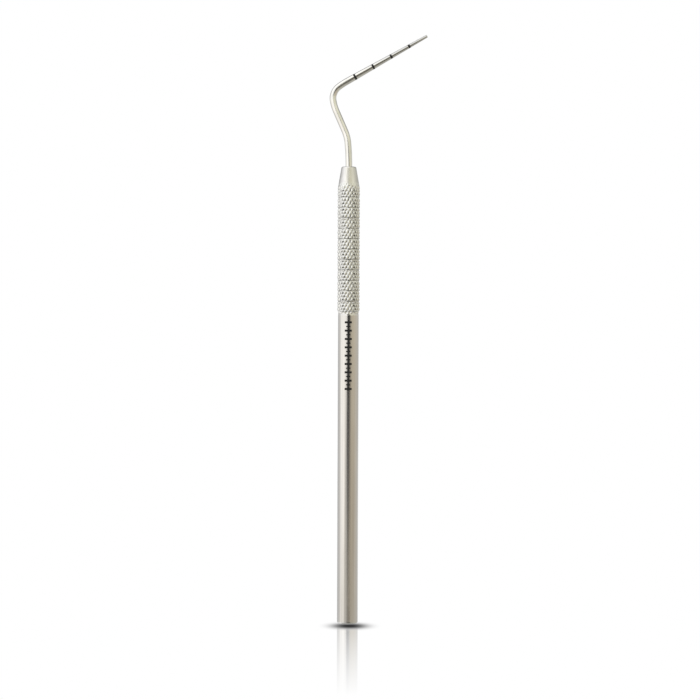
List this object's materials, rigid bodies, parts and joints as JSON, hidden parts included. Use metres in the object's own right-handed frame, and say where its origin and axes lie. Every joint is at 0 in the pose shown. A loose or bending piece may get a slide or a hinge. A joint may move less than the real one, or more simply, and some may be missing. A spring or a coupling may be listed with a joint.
{
  "type": "graduated dental probe",
  "caption": "Single-ended steel dental probe: knurled bar handle with a coned nose, and a bent wire end whose straight tapered tip carries black depth rings",
  "frame": {"origin": "centre of the flat butt face, on the axis of the handle", "axes": "+Z runs along the handle from the butt to the nose, +X is the side that the tip points to, -Y is the front, which carries the etched scale"},
  "size_m": [0.0236, 0.0054, 0.1419],
  "materials": {
    "handle_steel": "polished stainless bar with faint lengthwise draw lines; rolled diamond knurl on the grip",
    "wire_steel": "bright polished spring-steel wire",
    "braze": "silver braze, only its end shows in the gap at the nose mouth",
    "mark_black": "matt black fill in etched grooves"
  },
  "bodies": {
    "root": {"handle": "handle_steel", "working_end": "wire_steel", "braze_sleeve": "braze", "handle_scale": "mark_black", "depth_mark_05": "mark_black", "depth_mark_10": "mark_black", "depth_mark_15": "mark_black", "depth_mark_20": "mark_black"}
  },
  "joints": []
}
